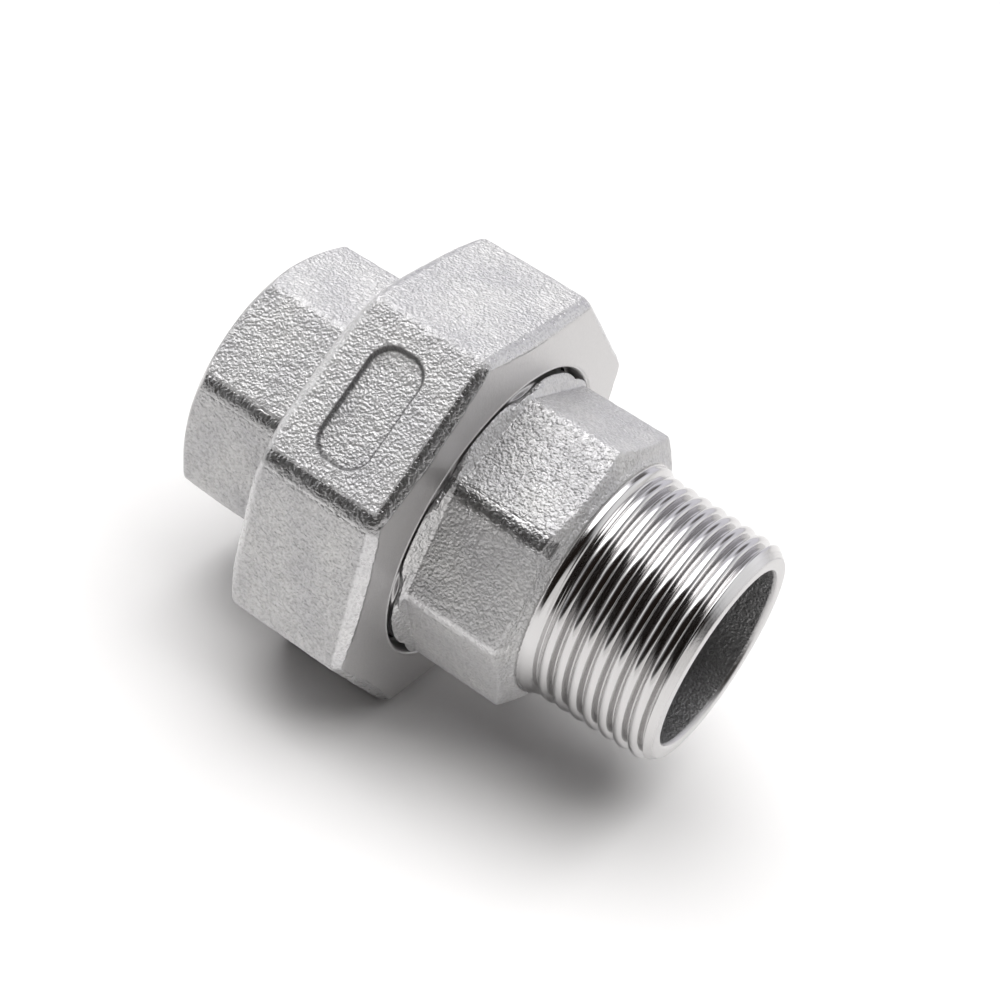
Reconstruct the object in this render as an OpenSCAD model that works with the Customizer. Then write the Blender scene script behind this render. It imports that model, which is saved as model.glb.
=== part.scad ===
// Pipe union adapter: a male taper-thread end and a female taper-thread end,
// drawn together by a captive eight-sided nut over a flat seat ring.
// Millimetres. The pipe axis is X, the male end faces +X, and the origin is
// on the pipe axis half way between the two ends. Fine threads are left here
// as plain turned surfaces.

/* [Whole union] */
// Distance from the nut's front face to the male end
male_reach = 29.1; // [28.6:0.1:32]
// Distance from the nut's front face to the back of the female end
female_reach = 30.2; // [30:0.1:36]
// Radius of the waterway
bore_r = 10.5; // [9:0.1:10.8]

/* [Male end] */
// Width of the male end's octagon across its flats
male_af = 31.0; // [30.6:0.1:31.4]
// Turn of the male end's octagon about the pipe axis, in degrees
male_turn = 5.1; // [0:0.1:45]
// Outer radius of the male pipe thread
male_thread_r = 13.22; // [12.9:0.01:13.4]
// Length of the male pipe thread
male_thread_l = 14.6; // [12:0.1:14.8]
// Radius of the smooth neck between the thread and the octagon
neck_r = 13.75; // [13.5:0.05:14]
// Distance from the nut's front face to the back of the octagon
male_oct_gap = 0.6; // [0.4:0.1:0.8]
// Length of the male end's octagon
male_oct_l = 11.3; // [9:0.1:11.4]

/* [Nut] */
// Width of the nut across its flats
nut_af = 46.4; // [46:0.1:50]
// Length of the nut
nut_l = 16.2; // [15.5:0.1:17]
// Radius of the hole in the nut's front lip
lip_r = 17.5; // [17.2:0.1:18]
// Thickness of the nut's front lip
lip_t = 3.2; // [2.5:0.1:4]
// Pitch radius of the thread inside the nut
nut_thread_r = 19.9; // [19.88:0.01:19.92]
// Length of the recessed pad across its flat
pad_l = 13.3; // [9:0.1:16]
// Width of the recessed pad
pad_w = 6.3; // [5.4:0.1:9]
// Depth of the recessed pad
pad_d = 0.5; // [0.2:0.05:0.8]

/* [Female end] */
// Width of the female end's octagon across its flats
female_af = 30.6; // [30.2:0.1:32]
// Pitch radius of the thread that carries the nut
boss_r = 19.82; // [19.7:0.01:19.84]
// Inner radius of the female pipe thread
female_thread_r = 12.06; // [11.9:0.01:12.2]
// Length of the female pipe thread
female_thread_l = 14.5; // [12:0.1:15]

/* [Seat] */
// Thickness of the seat ring
seat_t = 1.5; // [1:0.1:2]
// Thickness of the male end's collar
collar_t = 3.4; // [3:0.1:4]
// Radius of the male end's collar
collar_r = 19.0; // [18.5:0.1:19.3]

/* [Hidden] */
$fn = 96;
c8 = cos(22.5);
gap = 0.05;                            // slack between the lip and the collar
collar_x1 = -lip_t - gap;              // front face of the collar
collar_x0 = collar_x1 - collar_t;      // back face of the collar
seat_x0 = collar_x0 - seat_t;          // front face of the female end
oct_x0 = male_oct_gap;                 // back of the male octagon
oct_x1 = oct_x0 + male_oct_l;          // front of the male octagon
thr_x0 = male_reach - male_thread_l;   // back of the male pipe thread
boss_x0 = -nut_l - 1.0;                // back of the thread that carries the nut
mid = (female_reach - male_reach) / 2; // puts the origin half way between the ends
steel = [0.72, 0.71, 0.71];

// A solid turned about the pipe axis from [radius, x] points
module turned(pts) { rotate([0, 90, 0]) rotate_extrude() polygon(pts); }

// An eight-sided bar along the pipe axis
module bar8(af, x0, x1, turn = 22.5) {
    translate([x0, 0, 0]) rotate([0, 90, 0]) rotate([0, 0, turn])
        cylinder(h = x1 - x0, r = af / 2 / c8, $fn = 8);
}

// A straight hole along the pipe axis
module hole(r, x0, x1) { translate([x0, 0, 0]) rotate([0, 90, 0]) cylinder(h = x1 - x0, r = r); }

// A flat shape with round corners
module rounded(w, l, r) {
    square([w, l - 2 * r], center = true);
    square([w - 2 * r, l], center = true);
    for (i = [-1, 1], j = [-1, 1]) translate([i * (w / 2 - r), j * (l / 2 - r)]) circle(r);
}

module female_end() {
    rc = female_af / 2 / c8;
    color(steel) translate([mid, 0, 0]) difference() {
        union() {
            // octagon, its free end turned to a cone
            intersection() {
                bar8(female_af, -female_reach, boss_x0 + 1.2);
                turned([[0, -female_reach], [rc - 1.5, -female_reach], [rc + 0.3, -female_reach + 1.3],
                        [rc + 0.3, boss_x0 + 1.3], [0, boss_x0 + 1.3]]);
            }
            // threaded boss and the shoulder behind it
            turned([[0, seat_x0], [boss_r - 1.2, seat_x0], [boss_r, seat_x0 - 1.2], [boss_r, boss_x0 + 1.3],
                    [boss_r - 1.3, boss_x0], [rc - 0.6, boss_x0 - 0.9], [0, boss_x0 - 0.9]]);
        }
        hole(bore_r, -female_reach - 1, 0);
        hole(female_thread_r, -female_reach - 1, -female_reach + female_thread_l);
        // countersunk mouth
        turned([[0, -female_reach - 1], [female_thread_r + 2.2, -female_reach - 1], [female_thread_r + 1.2, -female_reach],
                [female_thread_r, -female_reach + 1.2], [0, -female_reach + 1.2]]);
        // cone below the thread
        turned([[0, -female_reach + female_thread_l - 0.1], [female_thread_r, -female_reach + female_thread_l - 0.1],
                [bore_r, -female_reach + female_thread_l + 1.0], [0, -female_reach + female_thread_l + 1.0]]);
    }
}

module union_nut() {
    rc = nut_af / 2 / c8;
    color(steel) translate([mid, 0, 0]) difference() {
        intersection() {
            bar8(nut_af, -nut_l, 0);
            // turned front and back
            turned([[0, -nut_l], [rc - 2.4, -nut_l], [rc + 0.4, -nut_l + 1.5], [rc + 0.4, -2.2],
                    [rc + 0.05, -1.95], [rc - 0.76, -0.62], [lip_r + 2.6, 0], [0, 0]]);
        }
        // bevels as cast along the front edge of each flat
        for (k = [0:7]) rotate([45 * k, 0, 0]) translate([-1.45, 0, nut_af / 2])
            rotate([0, 39.7, 0]) translate([-4, -15, 0]) cube([10, 30, 6]);
        // bevels along the back edge of each flat
        for (k = [0:7]) rotate([45 * k, 0, 0]) translate([-nut_l + 0.9, 0, nut_af / 2])
            rotate([0, -45, 0]) translate([-6, -15, 0]) cube([8, 30, 6]);
        hole(lip_r, -nut_l - 1, 1);
        hole(nut_thread_r, -nut_l - 1, -lip_t);
        // chamfered mouths of the threaded hole and of the lip
        turned([[0, -nut_l - 1], [nut_thread_r + 1.9, -nut_l - 1], [nut_thread_r + 0.9, -nut_l],
                [nut_thread_r, -nut_l + 0.9], [0, -nut_l + 0.9]]);
        turned([[0, 1], [lip_r + 1.4, 1], [lip_r + 0.4, 0], [lip_r, -0.4], [0, -0.4]]);
        // recessed pad on one upper flat
        rotate([45, 0, 0]) translate([-8.6, 0, nut_af / 2 - pad_d]) linear_extrude(pad_d + 1)
            rounded(pad_w, pad_l, 2.6);
    }
}

module male_end() {
    rc = male_af / 2 / c8;
    color(steel) translate([mid, 0, 0]) difference() {
        union() {
            // collar held behind the nut's lip, and the round neck in the lip
            turned([[0, collar_x0], [collar_r - 0.6, collar_x0], [collar_r, collar_x0 + 0.6], [collar_r, collar_x1 - 0.3],
                    [collar_r - 0.3, collar_x1], [rc, collar_x1], [rc, oct_x0 - 0.4], [rc - 0.9, oct_x0 + 0.3], [0, oct_x0 + 0.3]]);
            // octagon with its ends turned to cones
            intersection() {
                bar8(male_af, oct_x0, oct_x1 + 1.4, male_turn);
                turned([[0, oct_x0], [rc - 0.9, oct_x0], [rc + 0.2, oct_x0 + 0.9], [rc + 0.2, oct_x1 - 0.2],
                        [14.95, oct_x1 + 0.75], [0, oct_x1 + 0.75]]);
            }
            // cast step and smooth neck
            turned([[0, oct_x0], [14.95, oct_x0], [14.95, oct_x1 + 0.75], [14.45, oct_x1 + 0.95], [14.2, oct_x1 + 1.35],
                    [neck_r, oct_x1 + 1.5], [neck_r, thr_x0 - 0.3], [neck_r - 0.4, thr_x0], [0, thr_x0]]);
            // thread, with its lead-in
            turned([[0, oct_x1], [male_thread_r, oct_x1], [male_thread_r, male_reach - 1.3], [male_thread_r - 1.2, male_reach],
                    [0, male_reach]]);
        }
        hole(bore_r, collar_x0 - 1, male_reach + 1);
    }
}

module seat_ring() {
    color([0.93, 0.93, 0.91]) translate([mid, 0, 0]) difference() {
        turned([[0, seat_x0], [17.6, seat_x0], [17.8, seat_x0 + 0.2], [17.8, collar_x0 - 0.2], [17.6, collar_x0], [0, collar_x0]]);
        hole(bore_r + 1.2, seat_x0 - 1, collar_x0 + 1);
    }
}

female_end();
union_nut();
male_end();
seat_ring();
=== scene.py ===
import bpy
import bmesh
import math
import numpy as np
from mathutils import Vector, Matrix


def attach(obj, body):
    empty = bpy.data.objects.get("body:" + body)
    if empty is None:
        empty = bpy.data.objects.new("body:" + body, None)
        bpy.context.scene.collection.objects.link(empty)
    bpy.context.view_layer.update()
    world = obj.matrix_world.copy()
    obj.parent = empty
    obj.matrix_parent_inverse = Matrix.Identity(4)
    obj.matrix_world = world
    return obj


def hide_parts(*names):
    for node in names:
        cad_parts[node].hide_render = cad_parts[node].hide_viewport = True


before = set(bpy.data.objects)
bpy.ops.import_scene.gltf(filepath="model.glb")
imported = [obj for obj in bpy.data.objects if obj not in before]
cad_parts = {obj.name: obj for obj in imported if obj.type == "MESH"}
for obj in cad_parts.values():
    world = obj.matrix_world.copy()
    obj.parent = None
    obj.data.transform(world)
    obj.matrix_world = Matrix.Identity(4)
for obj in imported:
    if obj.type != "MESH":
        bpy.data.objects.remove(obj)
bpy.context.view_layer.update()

# ------------------------------------------------------------------ camera
cam_data = bpy.data.cameras.new("cam")
cam = bpy.data.objects.new("cam", cam_data)
bpy.context.scene.collection.objects.link(cam)
right = Vector((0.797523, 0.550866, 0.245974))
up = Vector((-0.510933, 0.399945, 0.760915))
fwd = Vector((-0.320786, 0.732524, -0.600421))
rot = Matrix((right, up, -fwd)).transposed()
cam.matrix_world = Matrix.Translation((0.0701108, -0.1580568, 0.131592)) @ rot.to_4x4()
cam_data.sensor_width = 36.0
cam_data.lens = 73.4556
cam_data.clip_start = 0.005
cam_data.clip_end = 20.0
bpy.context.scene.camera = cam

# ------------------------------------------------------------------ sizes, mm, the same as the CAD part's
MID = 0.55                      # nut's front face, measured from the origin
MR, FR = 29.1, 30.2             # reach of the male and the female end from the nut's front face
BORE = 10.5
C8 = math.cos(math.pi / 8)
MALE_AF, MALE_TURN = 31.0, 5.1
NUT_AF, NUT_L, LIP_R, LIP_T = 46.4, 16.2, 17.5, 3.2
FEM_AF = 30.6
COL_X1 = -LIP_T - 0.05
COL_X0 = COL_X1 - 3.4
SEAT_X0 = COL_X0 - 1.5
OCT_X0, OCT_X1 = 0.6, 11.9
BOSS_X0 = -NUT_L - 1.0
PITCH = 25.4 / 14.0             # pipe thread
NPITCH = 2.0                    # nut thread
SEC = 48                        # columns in each eighth of a turn
C = SEC * 8


# ------------------------------------------------------------------ noise, the same each run
def _hash(ix, iy, iz, seed):
    h = (ix * 374761393 + iy * 668265263 + iz * 2147483647 + seed * 1274126177) & 0xFFFFFFFF
    h = ((h ^ (h >> 13)) * 1274126177) & 0xFFFFFFFF
    h = h ^ (h >> 16)
    return (h & 0xFFFFFF).astype(np.float64) / float(0xFFFFFF) * 2.0 - 1.0


def vnoise(p, scale, seed):
    q = p / scale
    i = np.floor(q).astype(np.int64)
    f = q - i
    u = f * f * f * (f * (f * 6 - 15) + 10)
    out = 0.0
    for a in (0, 1):
        for b in (0, 1):
            for c in (0, 1):
                w = (u[..., 0] if a else 1 - u[..., 0]) * (u[..., 1] if b else 1 - u[..., 1]) * (u[..., 2] if c else 1 - u[..., 2])
                out = out + w * _hash(i[..., 0] + a, i[..., 1] + b, i[..., 2] + c, seed)
    return out


def grain(p, seed):
    """Relief of an as-cast surface, in mm."""
    return (0.020 * vnoise(p, 0.55, seed) + 0.022 * vnoise(p, 0.95, seed + 1) + 0.022 * vnoise(p, 1.9, seed + 2)
            + 0.035 * vnoise(p, 5.0, seed + 3))


def smax(a, b, k):
    h = np.maximum(k - np.abs(a - b), 0.0)
    return np.maximum(a, b) + h * h / (4.0 * k)


def smoothstep(e0, e1, v):
    t = np.clip((v - e0) / (e1 - e0), 0.0, 1.0)
    return t * t * (3 - 2 * t)


# ------------------------------------------------------------------ columns round the pipe axis
def columns(turn, counts=(SEC,) * 8):
    """Angles about +X from +Y, closer together near the corners of an octagon turned by that many degrees."""
    out = []
    for k, n in enumerate(counts):
        s = np.arange(n) / n * 2.0 - 1.0
        d = 22.5 * (1.3 * s - 0.3 * s * np.abs(s))
        out.append(turn + 22.5 + 45.0 * k + d)
    return np.radians(np.concatenate(out))


def apothems(r, psi, turn):
    """Distance along the normals of the nearest flat and of the next nearest."""
    t = np.radians(turn)
    d = np.mod(psi - t, math.pi / 4) - math.pi / 8      # angle from the middle of the nearest flat
    return r * np.cos(d), r * np.cos(math.pi / 4 - np.abs(d))


class Mesh:
    """A closed mesh made of rings round the pipe axis and helical bands between them.

    A mask's real part is 1 on cast skin and 0 on turned metal. Its imaginary part is 1 where turned metal is satin
    and not bright, and where cast skin is worn smooth, as on an edge.
    Below 0 it holds painted shade along the pad's recess wall, and above 1 painted shade on some worn edges; both
    darken the colour.
    """

    def __init__(self, psi):
        self.psi = psi
        self.c = len(psi)
        self.v, self.m, self.f = [], [], []
        self.n = 0

    def add(self, x, r, psi, mask):
        x, r, psi, mask = np.broadcast_arrays(np.asarray(x, float), np.asarray(r, float), psi, np.asarray(mask, complex))
        self.v.append(np.stack([x, r * np.cos(psi), r * np.sin(psi)], -1).reshape(-1, 3))
        self.m.append(mask.reshape(-1))
        k = self.n
        self.n += x.size
        return np.arange(k, self.n).reshape(x.shape)

    def ring(self, x, r, mask=0.0):
        return self.add(np.asarray(x) + 0 * self.psi, r, self.psi, mask)

    def strip(self, a, b):
        a2, b2 = np.roll(a, -1), np.roll(b, -1)
        for q in zip(a, a2, b2, b):
            self.f.append(tuple(int(i) for i in q))

    def rings(self, first, xs, rs, masks):
        """A run of rings; xs, rs and masks are lists of values or of arrays. Returns the last ring."""
        for x, r, m in zip(xs, rs, masks):
            nxt = self.ring(x, r, m)
            if first is not None:
                self.strip(first, nxt)
            first = nxt
        return first

    def helix(self, ring_a, xa, turns, pitch, knots, rfun, mask):
        """Right-handed helical rows from the circle ring_a at xa to a new circle at xa + turns * pitch."""
        c, n = self.c, len(knots)
        kn = np.asarray(knots, float)
        frac = (self.psi - self.psi[0]) / (2 * math.pi)
        ids = {}
        total = turns * c

        def put(xs, cols):
            psi = self.psi[cols]
            r, m = rfun(xs, psi)
            return self.add(xs, r, psi, m)
        # lower wedge, the first turn: from the circle up to the helix
        e = np.arange(c)
        edge = xa + pitch * frac
        low = np.empty((c, n + 1), int)
        low[:, 0] = ring_a
        body_n = (turns - 1) * c
        i = np.arange(1, body_n + 1)
        # helical columns i = 0 .. body_n, rows j = 0 .. n-1
        ii = np.arange(0, body_n + 1)
        xi = xa + pitch * (ii // c) + pitch * frac[ii % c]
        grid = np.empty((body_n + c + 1, n), int)
        xs = xi[:, None] + pitch * kn[None, :]
        g = put(xs, np.repeat((ii % c)[:, None], n, 1))
        grid[:body_n + 1] = g
        # the very first point is the circle's own
        grid[0, 0] = ring_a[0]
        # columns past body_n hold only row 0, on the last turn's edge
        i3 = np.arange(body_n + 1, body_n + c)
        x3 = xa + pitch * (i3 // c) + pitch * frac[i3 % c]
        g3 = put(x3, i3 % c)
        grid[body_n + 1:body_n + c, 0] = g3
        xb = xa + turns * pitch
        rb, mb = rfun(np.full(c, xb), self.psi)
        ring_b = self.ring(xb, rb, mb)
        grid[body_n + c, 0] = ring_b[0]
        # rows between the circle and the helix on the first turn
        sub = kn[1:]
        for j in range(1, n):
            cols = np.arange(1, c)
            x = xa + (edge[1:] - xa) * kn[j]
            low[1:, j] = put(x, cols)
            low[0, j] = ring_a[0]
        low[1:, n] = grid[1:c, 0]
        low[0, n] = ring_a[0]
        nxt = np.empty((c + 1, n + 1), int)
        nxt[:c] = low
        nxt[c, :n] = grid[0]
        nxt[c, n] = grid[c, 0]
        for k in range(c):
            for j in range(n):
                self.poly([nxt[k, j], nxt[k + 1, j], nxt[k + 1, j + 1], nxt[k, j + 1]])
        # the helical cells
        top = np.empty((body_n + 1, n + 1), int)
        top[:, :n] = grid[:body_n + 1]
        top[:, n] = grid[c:c + body_n + 1, 0]
        for k in range(body_n):
            for j in range(n):
                self.poly([top[k, j], top[k + 1, j], top[k + 1, j + 1], top[k, j + 1]])
        # rows between the helix and the end circle on the last turn
        hi = np.empty((c + 1, n + 1), int)
        hi[0] = top[body_n]
        hi[1:c, 0] = grid[body_n + 1:body_n + c, 0]
        x0 = x3
        for j in range(1, n):
            hi[1:c, j] = put(x0 + (xb - x0) * kn[j], i3 % c)
        hi[1:c, n] = ring_b[1:]
        hi[c, :] = ring_b[0]
        for k in range(c):
            for j in range(n):
                self.poly([hi[k, j], hi[k + 1, j], hi[k + 1, j + 1], hi[k, j + 1]])
        return ring_b

    def poly(self, q):
        out = []
        for i in q:
            i = int(i)
            if not out or (i != out[-1] and i != out[0]):
                out.append(i)
        if len(set(out)) > 2:
            self.f.append(tuple(out))

    def build(self, name, grain_seed=None, pad=None):
        v = np.concatenate(self.v)
        m = np.concatenate(self.m)
        v[:, 0] += MID
        me = bpy.data.meshes.new(name)
        used = np.zeros(len(v), bool)
        for f in self.f:
            for i in f:
                used[i] = True
        back = np.cumsum(used) - 1
        me.from_pydata((v[used] * 0.001).tolist(), [], [tuple(int(back[i]) for i in f) for f in self.f])
        m = m[used]
        bm = bmesh.new()
        bm.from_mesh(me)
        bmesh.ops.recalc_face_normals(bm, faces=bm.faces)
        bm.to_mesh(me)
        bm.free()
        me.update()
        if grain_seed is not None:
            co = np.empty(len(me.vertices) * 3)
            me.vertices.foreach_get("co", co)
            co = co.reshape(-1, 3)
            no = np.empty(len(me.vertices) * 3)
            me.vertices.foreach_get("normal", no)
            no = no.reshape(-1, 3)
            co += no * (grain(co * 1000.0, grain_seed) * np.clip(m.real, 0, 1))[:, None] * 0.001
            me.vertices.foreach_set("co", co.reshape(-1))
        for key, val in (("cast", m.real), ("satin", m.imag)):
            att = me.attributes.new(key, "FLOAT", "POINT")
            att.data.foreach_set("value", val.astype(np.float32))
        me.polygons.foreach_set("use_smooth", [True] * len(me.polygons))
        me.update()
        ob = bpy.data.objects.new(name, me)
        bpy.context.scene.collection.objects.link(ob)
        return ob


def steps(a, b, n, ends=False):
    """n values from a to b, without a."""
    return [a + (b - a) * (i + 1) / n for i in range(n)]


def settle(F, x, r, psi, it=6):
    """Moves points of each half-plane onto F = 0."""
    e = 1e-3
    for _ in range(it):
        f = F(x, r, psi)
        gx = (F(x + e, r, psi) - F(x - e, r, psi)) / (2 * e)
        gr = (F(x, r + e, psi) - F(x, r - e, psi)) / (2 * e)
        g2 = np.maximum(gx * gx + gr * gr, 0.2)
        x = x - f * gx / g2
        r = r - f * gr / g2
    return x, r


def line(x, r, x0, r0, x1, r1):
    """Signed distance from the line through two points, positive on the side of greater radius or, for a face, ahead."""
    dx, dr = x1 - x0, r1 - r0
    l = math.hypot(dx, dr)
    return ((r - r0) * dx - (x - x0) * dr) / l


# ------------------------------------------------------------------ union nut
def near_corner(psi, at):
    return np.exp(-((np.mod(psi, 2 * math.pi) - math.radians(at)) / 0.2) ** 2)


def worn_edge_and_painted_shade(psi, a1, a2, at, base):
    """How smooth an edge is worn: fully on the edge at the angle at, base on the others. On the edge at the angle
    at the value reaches 1.7, and above 1 it darkens the colour: painted shade.
    """
    n = near_corner(psi, at)
    return (base + (1.7 - base) * n) * (1.0 - smoothstep(0.22 + 0.35 * n, 0.55 + 0.45 * n, a1 - a2))


def nut_outer(x, r, psi):
    a1, a2 = apothems(r, psi, 22.5)
    flat = smax(a1, a2, 0.42 + 0.45 * near_corner(psi, 157.5)) - NUT_AF / 2
    rc = NUT_AF / 2 / C8
    bevel = ((x + 1.45) * 0.83 + (a1 - NUT_AF / 2)) / 1.3
    cone = line(x, r, -1.95, rc + 0.05, -0.62, rc - 0.76)
    mach = line(x, r, -0.62, rc - 0.76, 0.0, LIP_R + 2.6)
    front = x + 0.0
    back = -NUT_L - x
    bcone = line(x, r, -NUT_L, rc - 2.4, -NUT_L + 1.5, rc + 0.4)
    bbev = (-(x + NUT_L - 0.9) + (a1 - NUT_AF / 2)) / math.sqrt(2)
    f = smax(flat, smax(bevel, cone, 0.25), 0.32)
    f = smax(f, smax(bcone, bbev, 0.3), 0.5)
    f = smax(f, back, 0.4)
    return smax(f, smax(mach, front, 1.0), 0.12)


def nut_mask(x, r, psi):
    """Cast skin up to the turned front face, worn smooth along its edges. The mask goes above 1 on the edge at
    157.5 degrees and on the front bevel of the flat at 135 degrees, which darkens the colour there: painted shade.
    """
    a1, a2 = apothems(r, psi, 22.5)
    p = np.stack([x, r * np.cos(psi), r * np.sin(psi)], -1)
    rc = NUT_AF / 2 / C8
    rest = np.maximum(np.maximum(a1 - NUT_AF / 2, ((x + 1.45) * 0.83 + (a1 - NUT_AF / 2)) / 1.3),
                      line(x, r, -1.95, rc + 0.05, -0.62, rc - 0.76))
    mach = line(x, r, -0.62, rc - 0.76, 0.0, LIP_R + 2.6)
    cast = 1.0 - smoothstep(-0.10, 0.06, mach - rest + 0.07 * vnoise(p, 0.7, 71) + 0.05 * vnoise(p, 1.7, 72))
    # painted shade: the edge at 157.5 degrees and the front bevel of the flat at 135 degrees get values up to 1.7,
    # which darken the colour
    edge = worn_edge_and_painted_shade(psi, a1, a2, 157.5, 0.0)
    side = np.exp(-((np.mod(psi, 2 * math.pi) - math.radians(135)) / 0.40) ** 8)
    edge = np.maximum(edge, (1.0 + 0.7 * side) * smoothstep(-1.85, -1.50, x))
    edge = np.maximum(edge, smoothstep(-NUT_L + 1.5, -NUT_L + 0.9, x))
    return cast * (1.0 + 1j * edge) + (1.0 - cast) * 1j


def v_thread(u, depth, flat_c, flat_r, power=1.0):
    """Height of a thread below its crest, 0 to depth, at the fraction u of a pitch from the middle of a root."""
    u = np.abs(np.mod(u + 0.5, 1.0) - 0.5)              # 0 at the root's middle, 0.5 at the crest's
    return depth * (1.0 - np.clip((u - flat_r) / (0.5 - flat_c - flat_r), 0.0, 1.0)) ** power


def dome_thread(u):
    """Depth below the crest of a worn taper thread: domed ridges, the crest a little forward, between narrow valleys."""
    w = np.mod(u, 1.0)
    c = 0.58
    s = np.where(w < c, (c - w) / c, (w - c) / (1.0 - c))
    return 0.60 * s ** 2 + 0.50 * np.clip((s - 0.50) / 0.47, 0.0, 1.0) ** 1.2


def make_nut():
    psi = columns(22.5, (40, 44, 176, 44, 40, 40, 40, 40))
    mb = Mesh(psi)
    rc = NUT_AF / 2 / C8
    scale = 1.0 / np.cos(np.mod(psi - math.radians(22.5), math.pi / 4) - math.pi / 8)
    # start: lip hole's front edge, then out over the front, along the flats and in over the back
    guess = []
    for r in [17.9, 18.1, 18.6, 19.2, 19.8, 20.4, 21.0, 21.4]:
        guess.append((0.0, r, 0.0))
    for t in np.linspace(0.0, 1.0, 24)[1:]:
        guess.append((0.0 - 0.55 * t, 21.4 + 1.5 * t, t))
    for t in np.linspace(0.0, 1.0, 20)[1:]:
        guess.append((-0.55 - 1.9 * t, 22.9 + 0.3 * min(1, t * 2.2), 1.0))
    side = list(np.linspace(-2.45, -5.2, 8)[1:]) + list(np.linspace(-5.2, -12.0, 54)[1:]) + list(np.linspace(-12.0, -14.2, 7)[1:])
    for x in side:
        guess.append((x, 23.2, 1.0))
    for t in np.linspace(0.0, 1.0, 14)[1:]:
        guess.append((-14.2 - 2.0 * min(1, t * 1.25), 23.2 - 1.7 * max(0.0, t - 0.2) / 0.8, 1.0))
    rows = []
    for x, r, w in guess:
        rr = r * (1 + (scale - 1) * w)
        X, R = settle(nut_outer, np.full(len(psi), x), rr, psi)
        rows.append((X, R))
    # recessed pad on the flat at 135 degrees; along its wall and foot the mask goes below 0, which darkens the
    # colour: painted shade in the recess
    fa = math.radians(135)

    def pad_depth(x, r):
        d = np.mod(psi - fa + math.pi, 2 * math.pi) - math.pi
        u = -r * np.sin(d)
        near = np.abs(d) < math.radians(24)
        qx = np.abs(x + 8.6) - (6.3 / 2 - 2.6)
        qu = np.abs(u) - (13.3 / 2 - 2.6)
        sd = np.hypot(np.maximum(qx, 0), np.maximum(qu, 0)) + np.minimum(np.maximum(qx, qu), 0) - 2.6
        # painted shade: a band along the recess wall and its foot, later subtracted from the mask to darken the
        # colour there
        dirt_and_recess_shade = smoothstep(0.10, 0.0, sd) * smoothstep(-0.36, -0.20, sd)
        return np.where(near, 0.5 * smoothstep(0.07, -0.18, sd), 0.0), np.where(near, dirt_and_recess_shade, 0.0)
    last = None
    for k, (X, R) in enumerate(rows):
        d, dirt_and_recess_shade = pad_depth(X, R)
        m = nut_mask(X, R, psi) - 1j * dirt_and_recess_shade
        delta = np.mod(psi - fa + math.pi, 2 * math.pi) - math.pi
        R = R - d / np.cos(delta) * (np.abs(delta) < math.radians(24))
        last = mb.rings(last, [X], [R], [m])
        if k == 0:
            first = last
    # in over the back face to the threaded hole, whose mouth is chamfered
    maj, mnr = 20.45, 19.32
    for r, x in ((21.2, -NUT_L), (20.9, -NUT_L), (20.78, -NUT_L + 0.04), (maj + 0.02, -NUT_L + 0.45)):
        last = mb.rings(last, [x], [np.full(len(psi), r)], [1j])
    xa = -NUT_L + 0.45
    turns = 6

    def rfun(x, p):
        crest = mnr + np.maximum(0.0, (-NUT_L + 1.55) - x)            # the mouth's chamfer cuts the crests
        end = np.clip((x - (xa + turns * NPITCH - 2.4)) / 1.6, 0, 1)  # the thread fades out at its inner end
        dep = (maj - mnr) * (1 - end)
        u = (x - NPITCH * p / (2 * math.pi)) / NPITCH
        # this is a hole, so its ridges point inwards
        h = v_thread(u, 1.0, 0.06, 0.06)
        ridge = mnr + dep * (1.0 - h) + end * 0.0
        return np.maximum(ridge, np.minimum(crest, maj + 0.3)), np.zeros_like(x)
    last = mb.helix(last, xa, turns, NPITCH, [0, 0.06, 0.25, 0.44, 0.5, 0.56, 0.75, 0.94], rfun, 0.0)
    for r, x in ((mnr + 0.2, -LIP_T - 0.15), (mnr - 0.1, -LIP_T), (18.6, -LIP_T), (17.8, -LIP_T), (LIP_R, -LIP_T + 0.2), (LIP_R, -1.8), (LIP_R, -0.55), (LIP_R + 0.12, -0.3), (LIP_R + 0.38, -0.04)):
        last = mb.rings(last, [x], [np.full(len(psi), r)], [1j])
    mb.strip(last, first)
    return mb.build("union_nut_skin", 11)


# ------------------------------------------------------------------ shared: octagonal bars
def oct_radius(psi, turn, af, k):
    """Radius of a round-cornered octagon."""
    d = np.mod(psi - math.radians(turn), math.pi / 4) - math.pi / 8
    c1, c2 = np.cos(d), np.cos(math.pi / 4 - np.abs(d))
    r = np.full_like(psi, af / 2 / C8)
    for _ in range(12):
        f = smax(r * c1, r * c2, k) - af / 2
        r = r - f / c1
    return r


def smin(a, b, k):
    return -smax(-a, -b, k)


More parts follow.
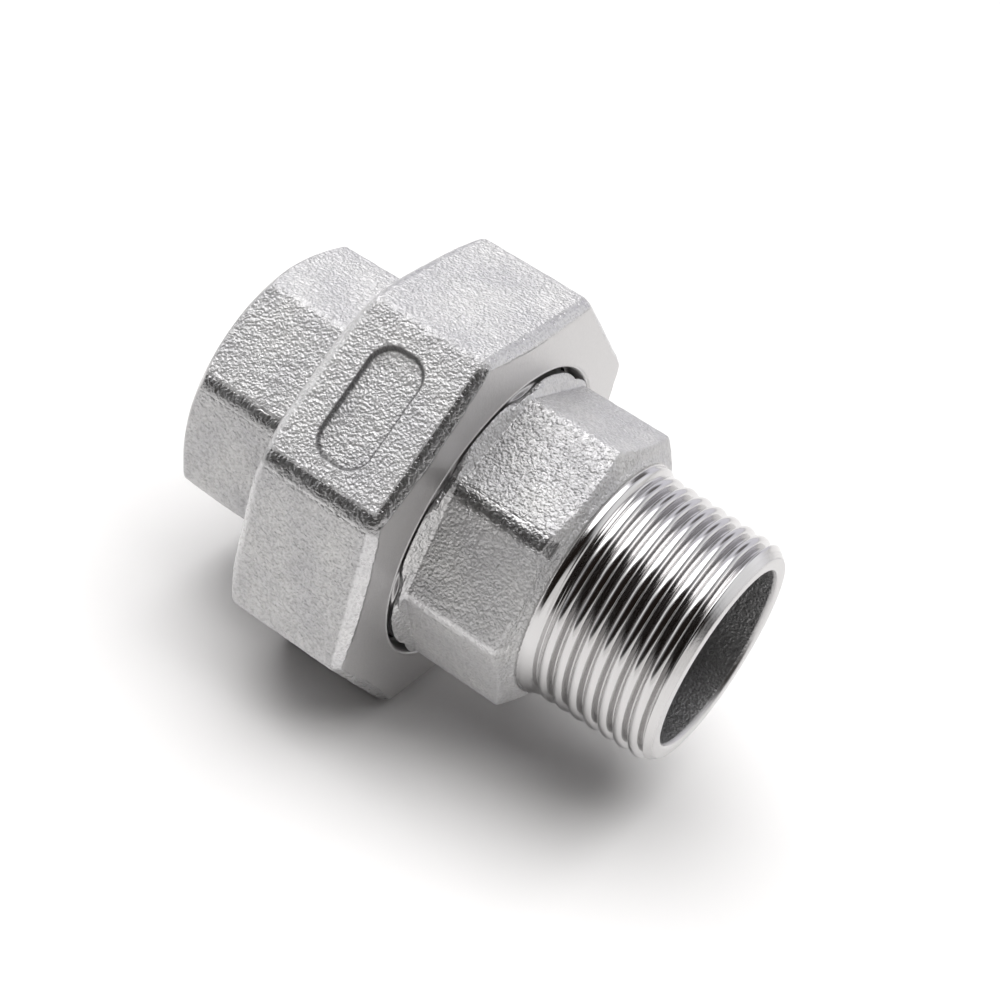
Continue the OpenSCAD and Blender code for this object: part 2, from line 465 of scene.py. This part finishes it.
def make_male():
    psi = columns(MALE_TURN)
    mb = Mesh(psi)
    rc = MALE_AF / 2 / C8
    end_r0 = 12.02
    # end face, from the bore's edge outwards
    last = None
    first = None
    for r, x in ((BORE + 0.02, MR - 0.25), (BORE + 0.10, MR - 0.08), (BORE + 0.28, MR), (11.3, MR), (11.75, MR), (11.93, MR - 0.03), (end_r0, MR - 0.10)):
        last = mb.rings(last, [x], [np.full(C, r)], [0.7j])
        if first is None:
            first = last
    # the helix runs from the back to the front, so build the back half first and join at the thread
    crest_end = 12.93           # crest radius at the male end, before the lead-in
    turns = 8
    xb = MR - 0.75
    xa = xb - turns * PITCH
    neck_r = 13.75

    def crest(x):
        return crest_end + (MR - x) / 32.0

    def rfun(x, p):
        c = crest(x)
        c = c + (neck_r - c) * smoothstep(14.6, 13.95, x)
        u = (x - PITCH * p / (2 * math.pi)) / PITCH + 0.18
        fade = smoothstep(xa + 0.02, xa + 2.0, x)
        h = dome_thread(u)
        # root rises where the die runs out
        r = c - h * (0.0 + fade)
        lead = end_r0 + (MR - 0.10 - x) * 0.86
        r = np.minimum(r, lead)
        return r, np.zeros_like(x)
    r_back, _ = rfun(np.full(C, xa), psi)
    ring_back = mb.ring(xa, r_back, 0.0)
    knots = [0, 0.045, 0.10, 0.16, 0.23, 0.32, 0.42, 0.51, 0.59, 0.68, 0.77, 0.84, 0.90, 0.955]
    knots = [(k) for k in knots]
    # shift so that rows lie on the profile's own corners
    sh = mb_shift(psi, xa, 0.18, PITCH)
    kk = sorted(set([0.0] + [float(np.mod(k - sh, 1.0)) for k in knots]))
    kk = [k for i, k in enumerate(kk) if i == 0 or k - kk[i - 1] > 0.012]
    ring_front = mb.helix(ring_back, xa, turns, PITCH, kk, rfun, 0.0)
    for x in np.linspace(xb, MR - 0.13, 8)[1:]:
        r, _ = rfun(np.full(C, x), psi)
        ring_front = mb.rings(ring_front, [x], [r], [0.3j])
    mb.strip(ring_front, last)
    # from the thread's back inwards along the neck to the octagon
    octr = oct_radius(psi, MALE_TURN, MALE_AF, 0.42 + 0.40 * near_corner(psi, MALE_TURN + 135))
    last = ring_back
    prof = []
    for x, r in ((OCT_X1 + 1.75, neck_r), (OCT_X1 + 1.62, neck_r)):
        prof.append((x, r, 0.2j))
    for x, r, m in ((OCT_X1 + 1.52, 13.86, 0.35), (OCT_X1 + 1.44, 13.98, 0.8), (OCT_X1 + 1.36, 14.14, 1.0), (OCT_X1 + 1.2, 14.24, 1.0), (OCT_X1 + 1.05, 14.34, 1.0), (OCT_X1 + 0.92, 14.48, 1.0),
                    (OCT_X1 + 0.82, 14.68, 1.0), (OCT_X1 + 0.76, 14.86, 1.0)):
        prof.append((x, r, m))
    for x, r, m in prof:
        last = mb.rings(last, [x], [np.full(C, r)], [m])

    def outer(x, r, p):
        a1, a2 = apothems(r, p, MALE_TURN)
        f = smax(a1, a2, 0.42 + 0.40 * near_corner(p, MALE_TURN + 135)) - MALE_AF / 2
        cone = line(x, r, OCT_X1 - 0.2, rc + 0.2, OCT_X1 + 0.75, 14.95)
        front = x - (OCT_X1 + 0.75)
        f = smax(f, cone, 0.22)
        return smax(f, front, 0.25)
    sc = octr / (MALE_AF / 2)
    guess = []
    for t in np.linspace(0, 1, 12):
        guess.append((OCT_X1 + 0.75 - 1.05 * t ** 1.2, 14.95 + 0.75 * min(1.0, 1.5 * t), t))
    for x in np.linspace(OCT_X1 - 0.3, OCT_X0 + 2.0, 26)[1:]:
        guess.append((x, 15.5, 1.0))
    for x, r, w in guess:
        X, R = settle(outer, np.full(C, x), r * (1 + (sc - 1) * w), psi)
        a1, a2 = apothems(R, psi, MALE_TURN)
        # painted shade: on the edge at MALE_TURN + 135 degrees the mask goes above 1, which darkens the colour
        edge = worn_edge_and_painted_shade(psi, a1, a2, MALE_TURN + 135, 0.2 + 0.8 * near_corner(psi, MALE_TURN + 180))
        last = mb.rings(last, [X], [R], [1.0 + 1j * edge])
    # the octagon's rear, chamfered at its corners, against the shoulder of the round neck in the lip
    neck = rc
    a1, a2 = apothems(octr, psi, MALE_TURN)
    # painted shade: the same darkened edge at MALE_TURN + 135 degrees, also carried by rim below
    edge = worn_edge_and_painted_shade(psi, a1, a2, MALE_TURN + 135, 0.2 + 0.8 * near_corner(psi, MALE_TURN + 180))
    dm = np.mod(psi - math.radians(MALE_TURN), math.pi / 4) - math.pi / 8
    corner = np.exp(-((math.pi / 8 - np.abs(dm)) / 0.125) ** 2)
    for x in list(np.linspace(OCT_X0 + 2.0, 1.6, 5)[1:]) + list(np.linspace(1.6, -0.45, 25)[1:]) + [-0.6, -0.8]:
        flare = np.log1p(np.exp((1.05 - x) / 0.06)) * 0.06 * 1.36
        cap = 17.08 - 0.30 * smoothstep(-0.10, -0.60, x)
        R = smin(octr + flare / np.cos(dm), cap + 0 * psi, 0.25)
        R = R - 0.85 * corner * smoothstep(0.52, 0.38, x) * smoothstep(-0.55, -0.25, x)
        rim = np.maximum(edge, 0.7 * smoothstep(1.3, 1.0, x))
        cast = smoothstep(-0.30, -0.10, x) + 0 * psi
        last = mb.rings(last, [x], [R], [cast * (1.0 + 1j * rim) + (1 - cast) * 1j])
    for x, r, m in ((-1.0, neck, 1j), (COL_X1 + 0.15, neck, 0.0), (COL_X1, neck + 0.15, 0.0),
                    (COL_X1, 18.3, 0.0), (COL_X1 - 0.04, 18.75, 0.0), (COL_X1 - 0.3, 19.0, 0.0), (COL_X0 + 0.6, 19.0, 0.0), (COL_X0 + 0.1, 18.5, 0.0), (COL_X0, 18.3, 0.0), (COL_X0, 14.5, 0.0), (COL_X0, BORE + 0.3, 0.0), (COL_X0 + 0.3, BORE, 0.3)):
        last = mb.rings(last, [x], [np.full(C, r)], [m])
    for x in np.linspace(COL_X0 + 1.0, MR - 1.0, 6):
        last = mb.rings(last, [x], [np.full(C, BORE)], [1.0])
    last = mb.rings(last, [MR - 0.6], [np.full(C, BORE)], [1.0])
    mb.strip(last, first)
    return mb.build("male_end_skin", 23)


def mb_shift(psi, xa, off, pitch):
    """Where in its pitch the thread stands at the start of the helix's first row."""
    return float(np.mod((xa - pitch * psi[0] / (2 * math.pi)) / pitch + off, 1.0))


def make_female():
    psi = columns(22.5)
    mb = Mesh(psi)
    rc = FEM_AF / 2 / C8
    octr = oct_radius(psi, 22.5, FEM_AF, 0.42 + 0.30 * near_corner(psi, 157.5))
    sc = octr / (FEM_AF / 2)

    def outer(x, r, p):
        a1, a2 = apothems(r, p, 22.5)
        f = smax(a1, a2, 0.42 + 0.30 * near_corner(p, 157.5)) - FEM_AF / 2
        cone = line(x, r, -FR, rc - 1.5, -FR + 1.3, rc + 0.3)
        back = -FR - x
        f = smax(f, cone, 0.22)
        return smax(f, back, 0.2)
    last = None
    first = None
    # back face, outwards from the threaded mouth
    for r in (13.34, 13.7, 14.2, 14.6):
        last = mb.rings(last, [-FR], [np.full(C, r)], [1j])
        if first is None:
            first = last
    guess = []
    for t in np.linspace(0, 1, 22):
        guess.append((-FR + 1.5 * t ** 1.3, 14.8 + 0.6 * min(1.0, 2.0 * t), min(1.0, t * 1.2)))
    for x in np.linspace(-FR + 1.5, BOSS_X0 - 1.1, 38)[1:]:
        guess.append((x, 15.3, 1.0))
    for x, r, w in guess:
        X, R = settle(outer, np.full(C, x), r * (1 + (sc - 1) * w), psi)
        a1, a2 = apothems(R, psi, 22.5)
        p = np.stack([X, R * np.cos(psi), R * np.sin(psi)], -1)
        cast = 1.0 - smoothstep(-0.08, 0.06, line(X, R, -FR, rc - 1.5, -FR + 1.3, rc + 0.3) - (a1 - FEM_AF / 2) + 0.08 * vnoise(p, 0.8, 73))
        # painted shade: on the edge at 157.5 degrees the mask goes above 1, which darkens the colour
        edge = worn_edge_and_painted_shade(psi, a1, a2, 157.5, 0.05)
        m = cast * (1.0 + 1j * edge) + (1.0 - cast) * 1j
        last = mb.rings(last, [X], [R], [m])
    # fillet up the shoulder to the thread that carries the nut
    for t, x, r in ((0.6, BOSS_X0 - 0.75, 16.9), (0.3, BOSS_X0 - 0.45, 17.5), (0.0, BOSS_X0 - 0.18, 18.1)):
        rr = np.maximum(octr + 0.05, np.full(C, r) - 0.0)
        last = mb.rings(last, [x], [octr * t + r * (1 - t)], [1.0])
    maj, mnr = 20.30, 19.17
    for x, r in ((BOSS_X0 - 0.04, 18.5), (BOSS_X0, 18.7)):
        last = mb.rings(last, [x], [np.full(C, r)], [0.3])
    xa = BOSS_X0 + 0.25
    last = mb.rings(last, [xa], [np.full(C, 19.0)], [0.0])
    turns = 4
    xb = xa + turns * NPITCH
    front = SEAT_X0

    def rfun(x, p):
        u = (x - NPITCH * p / (2 * math.pi)) / NPITCH
        h = v_thread(u, 1.0, 0.075, 0.075)
        # groove where the nut's ridge is: the nut's ridge stands at u = 0, so the groove is there too
        r = maj - (maj - mnr) * h
        back = 19.0 + (x - xa) * 1.1
        return np.minimum(r, back), np.zeros_like(x)
    last = mb.helix(last, xa, turns, NPITCH, [0, 0.075, 0.25, 0.425, 0.5, 0.575, 0.75, 0.925], rfun, 0.0)
    # the last part of a turn up to the front chamfer
    for x in np.linspace(xb, front - 0.0, 14)[1:]:
        r, _ = rfun(np.full(C, x), psi)
        lim = 18.75 + (front - x) * 1.05
        last = mb.rings(last, [x], [np.minimum(r, lim)], [0.0])
    for r in (18.3, 16.0, 12.5, BORE + 0.3):
        last = mb.rings(last, [front], [np.full(C, r)], [1j])
    tx = -FR + 14.5
    for x in np.linspace(front - 0.3, tx + 1.0, 10):
        last = mb.rings(last, [x], [np.full(C, BORE)], [1.0])
    last = mb.rings(last, [tx + 0.15], [np.full(C, 11.4)], [0.5])
    # female pipe thread, from its inner end out to the mouth: built from the mouth inwards
    tmaj0 = 13.28
    mouth = -FR + 0.25
    tturns = 7
    xin = mouth + tturns * PITCH

    def ffun(x, p):
        mn = 12.18 - (x + FR) / 32.0
        u = (x - PITCH * p / (2 * math.pi)) / PITCH + 0.37
        h = v_thread(u, 1.0, 0.05, 0.05)
        fade = 1 - smoothstep(xin - 3.2, xin - 0.3, x)
        r = mn + 1.08 * (1.0 - h) * fade
        cs = 13.28 - (x + FR) * 1.0
        return np.maximum(r, cs), np.zeros_like(x)
    r0, _ = ffun(np.full(C, mouth), psi)
    ring_m = mb.ring(mouth, r0, 0.0)
    ring_in = mb.helix(ring_m, mouth, tturns, PITCH, [0, 0.05, 0.16, 0.27, 0.39, 0.45, 0.5, 0.55, 0.66, 0.77, 0.88, 0.95], ffun, 0.0)
    for x in (xin + 0.8,):
        ring_in = mb.rings(ring_in, [x], [np.full(C, 11.75)], [0.3])
    mb.strip(ring_in, last)
    mb.strip(ring_m, first)
    return mb.build("female_end_skin", 37)


def make_seat():
    psi = np.radians(np.arange(192) * 360.0 / 192)
    mb = Mesh(psi)
    x0, x1 = SEAT_X0 + 0.01, COL_X0 - 0.01
    pts = [(x0, 11.9), (x0, 14.0), (x0, 17.5), (x0 + 0.03, 17.68), (x0 + 0.12, 17.8), (x1 - 0.12, 17.8), (x1 - 0.03, 17.68), (x1, 17.5), (x1, 14.0), (x1, 11.9), (x1 - 0.05, 11.76), (x1 - 0.2, 11.7), (x0 + 0.2, 11.7), (x0 + 0.05, 11.76)]
    first = last = None
    for x, r in pts:
        last = mb.rings(last, [x], [np.full(192, r)], [0.0])
        if first is None:
            first = last
    mb.strip(last, first)
    return mb.build("seat_ring_skin", None)


# ------------------------------------------------------------------ materials
def node(nt, kind, x, y, **kw):
    n = nt.nodes.new(kind)
    n.location = (x, y)
    for k, v in kw.items():
        setattr(n, k, v)
    return n


def mix_float(nt, fac, a, b, x, y):
    m = node(nt, "ShaderNodeMix", x, y, data_type="FLOAT")
    nt.links.new(fac, m.inputs["Factor"])
    for s, v in (("A", a), ("B", b)):
        if hasattr(v, "default_value") or hasattr(v, "is_linked"):
            nt.links.new(v, m.inputs[s])
        else:
            m.inputs[s].default_value = v
    return m.outputs["Result"]


def ramp(nt, src, stops, x, y, mode="LINEAR"):
    r = node(nt, "ShaderNodeValToRGB", x, y)
    r.color_ramp.interpolation = mode
    e = r.color_ramp.elements
    while len(e) < len(stops):
        e.new(0.5)
    for el, (p, c) in zip(e, stops):
        el.position = p
        el.color = (c[0], c[1], c[2], 1.0) if isinstance(c, (tuple, list)) else (c, c, c, 1.0)
    nt.links.new(src, r.inputs["Fac"])
    return r.outputs["Color"]


def steel(name, tint=(0.635, 0.63, 0.632), turned_tint=(0.63, 0.622, 0.62)):
    """Pickled cast steel where the attribute cast is 1, turned bright steel where it is 0."""
    mat = bpy.data.materials.new(name)
    mat.use_nodes = True
    nt = mat.node_tree
    b = nt.nodes["Principled BSDF"]
    b.inputs["Metallic"].default_value = 1.0
    L = nt.links.new
    tc = node(nt, "ShaderNodeTexCoord", -1800, 0)
    att = node(nt, "ShaderNodeAttribute", -1800, 300, attribute_name="cast")
    sat = node(nt, "ShaderNodeAttribute", -1800, 500, attribute_name="satin").outputs["Fac"]
    obj = tc.outputs["Object"]
    cast = att.outputs["Fac"]

    def noise(scale, detail, rough, x, y, vec=obj):
        n = node(nt, "ShaderNodeTexNoise", x, y)
        n.inputs["Scale"].default_value = scale
        n.inputs["Detail"].default_value = detail
        n.inputs["Roughness"].default_value = rough
        L(vec, n.inputs["Vector"])
        return n.outputs["Fac"]
    fine = noise(3300.0, 1.5, 0.5, -1500, -100)
    mid = noise(1300.0, 2.0, 0.5, -1500, -350)
    wide = noise(180.0, 2.0, 0.5, -1500, -600)
    vor = node(nt, "ShaderNodeTexVoronoi", -1500, -850)
    vor.inputs["Scale"].default_value = 2700.0
    L(obj, vor.inputs["Vector"])
    pits = ramp(nt, vor.outputs["Distance"], [(0.05, 1.0), (0.60, 0.0)], -1250, -850)
    # turned marks: fine rings about the pipe axis
    sep = node(nt, "ShaderNodeSeparateXYZ", -1600, -1200)
    L(obj, sep.inputs[0])
    yy = node(nt, "ShaderNodeMath", -1500, -1300, operation="MULTIPLY")
    zz = node(nt, "ShaderNodeMath", -1500, -1450, operation="MULTIPLY")
    ad = node(nt, "ShaderNodeMath", -1350, -1350, operation="ADD")
    sq = node(nt, "ShaderNodeMath", -1200, -1350, operation="SQRT")
    L(sep.outputs["Y"], yy.inputs[0]); L(sep.outputs["Y"], yy.inputs[1])
    L(sep.outputs["Z"], zz.inputs[0]); L(sep.outputs["Z"], zz.inputs[1])
    L(yy.outputs[0], ad.inputs[0]); L(zz.outputs[0], ad.inputs[1])
    L(ad.outputs[0], sq.inputs[0])
    cmb = node(nt, "ShaderNodeCombineXYZ", -1050, -1300)
    L(sep.outputs["X"], cmb.inputs[0]); L(sq.outputs[0], cmb.inputs[1])
    marks = noise(9000.0, 2.0, 0.6, -850, -1300, cmb.outputs[0])
    # height
    h1 = node(nt, "ShaderNodeMath", -1000, -200, operation="MULTIPLY_ADD")
    L(fine, h1.inputs[0]); h1.inputs[1].default_value = 1.0
    L(mid, h1.inputs[2])
    h2 = node(nt, "ShaderNodeMath", -800, -300, operation="MULTIPLY_ADD")
    L(pits, h2.inputs[0]); h2.inputs[1].default_value = 0.42
    L(h1.outputs[0], h2.inputs[2])
    hm = node(nt, "ShaderNodeMath", -700, -900, operation="MULTIPLY")
    L(marks, hm.inputs[0]); hm.inputs[1].default_value = 0.025
    hs = node(nt, "ShaderNodeMath", -700, -1050, operation="MULTIPLY")
    L(h1.outputs[0], hs.inputs[0]); hs.inputs[1].default_value = 0.10
    he = node(nt, "ShaderNodeMath", -700, -1200, operation="MULTIPLY")
    L(h1.outputs[0], he.inputs[0]); he.inputs[1].default_value = 0.56
    h = mix_float(nt, cast, mix_float(nt, sat, hm.outputs[0], hs.outputs[0], -600, -700), mix_float(nt, sat, h2.outputs[0], he.outputs[0], -600, -850), -500, -500)
    bump = node(nt, "ShaderNodeBump", -250, -500)
    bump.inputs["Strength"].default_value = 1.0
    bump.inputs["Distance"].default_value = 0.00020
    hb = node(nt, "ShaderNodeMath", -400, -650, operation="MULTIPLY")
    L(h, hb.inputs[0])
    L(hb.outputs[0], bump.inputs["Height"])
    L(bump.outputs["Normal"], b.inputs["Normal"])
    # colour
    cc = ramp(nt, wide, [(0.3, (tint[0] * 0.93, tint[1] * 0.93, tint[2] * 0.94)), (0.7, (tint[0] * 1.06, tint[1] * 1.06, tint[2] * 1.05))], -900, 300)
    dirt_and_recess_shade = ramp(nt, fine, [(0.36, 0.84), (0.55, 1.0)], -600, 100)
    # within 10.4 mm of the axis the colour is darkened and the bump weakened; the darker colour inside the bore is
    # painted shade
    bore = node(nt, "ShaderNodeMapRange", -900, -1100)
    bore.inputs["From Min"].default_value = 0.0104
    bore.inputs["From Max"].default_value = 0.0112
    bore.inputs["To Min"].default_value = 0.45
    L(bore.outputs["Result"], hb.inputs[1])
    L(sq.outputs[0], bore.inputs["Value"])
    mul = node(nt, "ShaderNodeMix", -350, 300, data_type="RGBA", blend_type="MULTIPLY")
    mul.inputs["Factor"].default_value = 1.0
    L(cc, mul.inputs["A"]); L(dirt_and_recess_shade, mul.inputs["B"])
    mul2 = node(nt, "ShaderNodeMix", -250, 450, data_type="RGBA", blend_type="MULTIPLY")
    mul2.inputs["Factor"].default_value = 1.0
    L(mul.outputs["Result"], mul2.inputs["A"]); L(bore.outputs["Result"], mul2.inputs["B"])
    # satin below 0 darkens the colour to 0.32 (painted shade along the pad's recess wall), and above 1 to 0.60
    # (painted shade on some worn edges)
    gr = node(nt, "ShaderNodeMapRange", -700, 600)
    gr.inputs["From Min"].default_value = -1.0
    gr.inputs["From Max"].default_value = 0.0
    gr.inputs["To Min"].default_value = 0.32
    L(sat, gr.inputs["Value"])
    ge = node(nt, "ShaderNodeMapRange", -700, 850)
    ge.inputs["From Min"].default_value = 1.0
    ge.inputs["From Max"].default_value = 1.7
    ge.inputs["To Min"].default_value = 1.0
    ge.inputs["To Max"].default_value = 0.60
    L(sat, ge.inputs["Value"])
    gg = node(nt, "ShaderNodeMath", -500, 750, operation="MULTIPLY")
    L(gr.outputs["Result"], gg.inputs[0]); L(ge.outputs["Result"], gg.inputs[1])
    mul3 = node(nt, "ShaderNodeMix", -200, 600, data_type="RGBA", blend_type="MULTIPLY")
    mul3.inputs["Factor"].default_value = 1.0
    L(mul2.outputs["Result"], mul3.inputs["A"]); L(gg.outputs[0], mul3.inputs["B"])
    col = node(nt, "ShaderNodeMix", -150, 300, data_type="RGBA")
    L(cast, col.inputs["Factor"])
    col.inputs["A"].default_value = (*turned_tint, 1.0)
    L(mul3.outputs["Result"], col.inputs["B"])
    L(col.outputs["Result"], b.inputs["Base Color"])
    # roughness
    rt = ramp(nt, marks, [(0.3, 0.11), (0.7, 0.18)], -600, -100)
    rs = ramp(nt, fine, [(0.3, 0.40), (0.7, 0.48)], -600, -180)
    rr = ramp(nt, mid, [(0.3, 0.50), (0.7, 0.60)], -600, -250)
    re = ramp(nt, mid, [(0.3, 0.25), (0.7, 0.33)], -600, -320)
    L(mix_float(nt, cast, mix_float(nt, sat, rt, rs, -450, -100), mix_float(nt, sat, rr, re, -450, -200), -300, -150), b.inputs["Roughness"])
    L(mix_float(nt, cast, 1.0, 0.94, -300, 0), b.inputs["Metallic"])
    return mat


def plastic():
    mat = bpy.data.materials.new("seat_white")
    mat.use_nodes = True
    nt = mat.node_tree
    b = nt.nodes["Principled BSDF"]
    b.inputs["Subsurface Weight"].default_value = 0.15
    b.inputs["Subsurface Radius"].default_value = (0.001, 0.001, 0.001)
    tc = node(nt, "ShaderNodeTexCoord", -900, 0)
    n = node(nt, "ShaderNodeTexNoise", -700, 0)
    n.inputs["Scale"].default_value = 900.0
    n.inputs["Detail"].default_value = 3.0
    nt.links.new(tc.outputs["Object"], n.inputs["Vector"])
    c = ramp(nt, n.outputs["Fac"], [(0.3, (0.86, 0.86, 0.84)), (0.7, (0.92, 0.92, 0.90))], -400, 100)
    nt.links.new(c, b.inputs["Base Color"])
    r = ramp(nt, n.outputs["Fac"], [(0.3, 0.38), (0.7, 0.5)], -400, -150)
    nt.links.new(r, b.inputs["Roughness"])
    bm_ = node(nt, "ShaderNodeBump", -200, -350)
    bm_.inputs["Distance"].default_value = 0.00002
    nt.links.new(n.outputs["Fac"], bm_.inputs["Height"])
    nt.links.new(bm_.outputs["Normal"], b.inputs["Normal"])
    return mat


steel_mat = steel("cast_steel")
nut = make_nut()
male = make_male()
female = make_female()
seat = make_seat()
for ob, mat, body, cad, sl in ((nut, steel_mat, "nut", "union_nut", "cast_steel"), (male, steel_mat, "male_end", "male_end", "cast_steel"),
                               (female, steel_mat, "female_end", "female_end", "cast_steel"), (seat, plastic(), "seat", "seat_ring", "seat")):
    ob.data.materials.append(mat)
    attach(ob, body)
    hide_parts(cad)

# ------------------------------------------------------------------ floor and light
floor_z = -NUT_AF / 2 * 0.001 - 0.00003
floor_me = bpy.data.meshes.new("floor")
floor_me.from_pydata([(-0.5, -0.12, floor_z), (0.5, -0.12, floor_z), (1.2, 1.6, floor_z), (-1.2, 1.6, floor_z)], [], [(0, 1, 2, 3)])
floor = bpy.data.objects.new("floor", floor_me)
bpy.context.scene.collection.objects.link(floor)
fm = bpy.data.materials.new("floor")
fm.use_nodes = True
fb = fm.node_tree.nodes["Principled BSDF"]
fb.inputs["Base Color"].default_value = (0.87, 0.86, 0.855, 1)
fb.inputs["Roughness"].default_value = 0.7
fb.inputs["Specular IOR Level"].default_value = 0.2
floor.data.materials.append(fm)


def area(name, loc, target, size, power, color=(1, 1, 1), shape="RECTANGLE", size_y=None):
    d = bpy.data.lights.new(name, "AREA")
    d.energy = power
    d.color = color
    d.shape = shape
    d.size = size
    if size_y:
        d.size_y = size_y
    o = bpy.data.objects.new(name, d)
    bpy.context.scene.collection.objects.link(o)
    o.location = loc
    v = Vector(target) - Vector(loc)
    o.rotation_euler = v.to_track_quat("-Z", "Y").to_euler()
    return o


floor_light = area("floor_light", (-0.02, 0.03, 0.80), (0, 0, 0), 1.15, 13.0, size_y=0.95)
floor_light.visible_glossy = False

# studio: a big soft light overhead, a paler one behind, and the dark side of the room in front,
# where the photographer stands
world = bpy.data.worlds.new("studio")
bpy.context.scene.world = world
world.use_nodes = True
wn = world.node_tree
bg = wn.nodes["Background"]
tcw = node(wn, "ShaderNodeTexCoord", -900, 0)


def lobe(d, inner, outer, y):
    """1 within inner degrees of the direction d, falling to 0 at outer degrees."""
    v = Vector(d).normalized()
    dt = node(wn, "ShaderNodeVectorMath", -700, y, operation="DOT_PRODUCT")
    wn.links.new(tcw.outputs["Generated"], dt.inputs[0])
    dt.inputs[1].default_value = v
    m = node(wn, "ShaderNodeMapRange", -500, y, interpolation_type="SMOOTHSTEP")
    m.inputs["From Min"].default_value = math.cos(math.radians(outer))
    m.inputs["From Max"].default_value = math.cos(math.radians(inner))
    wn.links.new(dt.outputs["Value"], m.inputs["Value"])
    return m.outputs["Result"]


def wmix(fac, a, b, mode, x, y):
    m = node(wn, "ShaderNodeMix", x, y, data_type="RGBA", blend_type=mode)
    wn.links.new(fac, m.inputs["Factor"])
    for k, v in (("A", a), ("B", b)):
        if isinstance(v, tuple):
            m.inputs[k].default_value = v
        else:
            wn.links.new(v, m.inputs[k])
    return m.outputs["Result"]


def wmath(op, a, b, x, y):
    m = node(wn, "ShaderNodeMath", x, y, operation=op)
    for i, v in enumerate((a, b)):
        if isinstance(v, float):
            m.inputs[i].default_value = v
        else:
            wn.links.new(v, m.inputs[i])
    return m.outputs[0]


def wrange(src, lo, hi, y):
    m = node(wn, "ShaderNodeMapRange", -500, y, interpolation_type="SMOOTHSTEP")
    m.inputs["From Min"].default_value = lo
    m.inputs["From Max"].default_value = hi
    wn.links.new(src, m.inputs["Value"])
    return m.outputs["Result"]


sepw = node(wn, "ShaderNodeSeparateXYZ", -700, -700)
wn.links.new(tcw.outputs["Generated"], sepw.inputs[0])
dotu = node(wn, "ShaderNodeVectorMath", -700, -850, operation="DOT_PRODUCT")
wn.links.new(tcw.outputs["Generated"], dotu.inputs[0])
dotu.inputs[1].default_value = (-0.309, 0.0, 0.951)
dotu = dotu.outputs["Value"]
lit = wmix(lobe((-0.28, 0.04, 0.95), 22, 42, 0), (0.32, 0.32, 0.33, 1), (3.1, 3.08, 3.08, 1), "ADD", -250, 0)
lit = wmix(lobe((-0.30, 0.92, 0.20), 15, 60, -250), lit, (0.55, 0.54, 0.60, 1), "ADD", -100, -100)
lit = wmix(lobe((0.75, 0.58, 0.32), 15, 40, -400), lit, (0.70, 0.70, 0.70, 1), "ADD", -50, -150)
lit = wmix(lobe((-0.93, -0.16, 0.25), 14, 40, -480), lit, (0.85, 0.85, 0.85, 1), "ADD", -50, -170)
lit = wmix(lobe((-0.22, 0.83, 0.50), 8, 17, -550), lit, (0.14, 0.13, 0.13, 1), "MIX", 0, -200)
slant = wmath("MULTIPLY_ADD", sepw.outputs["X"], -0.25, -450, -1150)
wn.links.new(sepw.outputs["Y"], slant.node.inputs[2])
front = wmath("MULTIPLY", wrange(slant, -0.14, -0.30, -700), wrange(dotu, -0.04, 0.03, -850), -250, -700)
front = wmath("MULTIPLY", front, wrange(sepw.outputs["X"], -0.82, -0.40, -1250), -150, -800)
lit = wmix(front, lit, (0.014, 0.010, 0.008, 1), "MIX", 50, -250)
lit = wmix(wrange(dotu, -0.02, -0.09, -1000), lit, (0.88, 0.865, 0.855, 1), "MIX", 80, -250)
lp = node(wn, "ShaderNodeLightPath", 0, 300)
dim = wmix(lp.outputs["Is Diffuse Ray"], (1.0, 1.0, 1.0, 1), (0.025, 0.025, 0.026, 1), "MIX", 50, 150)
one = node(wn, "ShaderNodeValue", 0, 450)
one.outputs[0].default_value = 1.0
lit = wmix(one.outputs[0], lit, dim, "MULTIPLY", 120, 50)
lit = wmix(lp.outputs["Is Camera Ray"], lit, (1.0, 1.0, 1.0, 1), "MIX", 200, 0)
wn.links.new(lit, bg.inputs["Color"])
bg.inputs["Strength"].default_value = 1.0

vs = bpy.context.scene.view_settings
vs.view_transform = "Standard"
vs.look = "None"
vs.exposure = 0.0
